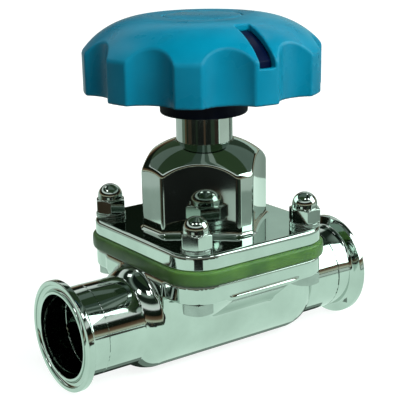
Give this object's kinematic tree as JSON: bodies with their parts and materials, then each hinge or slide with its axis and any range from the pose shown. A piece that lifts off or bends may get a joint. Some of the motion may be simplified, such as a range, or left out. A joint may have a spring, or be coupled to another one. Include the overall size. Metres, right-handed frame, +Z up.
{
  "type": "sanitary diaphragm valve",
  "caption": "Weir type sanitary diaphragm valve in polished steel with clamp ferrule ends, a domed bonnet and a rising plastic handwheel that closes the flow.",
  "frame": {"origin": "centre of the inlet face, on the pipe axis", "axes": "+X along the pipe axis from the inlet to the outlet, +Z up the stem to the handwheel, +Y to the left of the flow"},
  "size_m": [0.159, 0.1078, 0.1583],
  "materials": {
    "polished_steel": "mirror polished stainless steel",
    "machined_steel": "turned stainless steel",
    "navy_plastic": "satin moulded plastic",
    "teal_plastic": "satin moulded plastic",
    "diaphragm_rubber": "translucent olive elastomer",
    "bronze": "turned bronze",
    "seal_rubber": "matt black elastomer"
  },
  "bodies": {
    "valve": {"valve_body": "polished_steel", "inlet_ferrule": "polished_steel", "outlet_ferrule": "polished_steel", "diaphragm": "diaphragm_rubber", "bonnet": "polished_steel", "neck_sleeve": "polished_steel", "spindle_nut": "bronze", "stem_o_ring": "seal_rubber", "skirt_o_ring": "seal_rubber", "flange_bolts": "polished_steel", "flange_washers": "polished_steel", "cap_nuts": "polished_steel"},
    "compressor_set": {"compressor": "machined_steel", "diaphragm_stud": "machined_steel", "compressor_pins": "machined_steel", "thrust_washer": "bronze"},
    "handwheel_set": {"spindle": "machined_steel", "stop_ring": "machined_steel", "wheel_hub": "navy_plastic", "hub_insert": "machined_steel", "handwheel": "teal_plastic", "centre_cap": "teal_plastic", "wheel_washer": "machined_steel", "wheel_nut": "machined_steel"}
  },
  "joints": [
    {"name": "stem_lift", "type": "slide", "parent": "valve", "child": "compressor_set", "axis": [0, 0, 1], "range_m": [-0.012, 0], "deforming": ["diaphragm"]},
    {"name": "handwheel_turn", "type": "hinge", "parent": "compressor_set", "child": "handwheel_set", "pos_m": [0.0795, 0, 0.1], "axis": [0, 0, 1], "range_deg": [-1080, 0]}
  ],
  "couplings": [
    {"joint": "stem_lift", "follows": "handwheel_turn", "m_per_rad": 0.00063661}
  ]
}
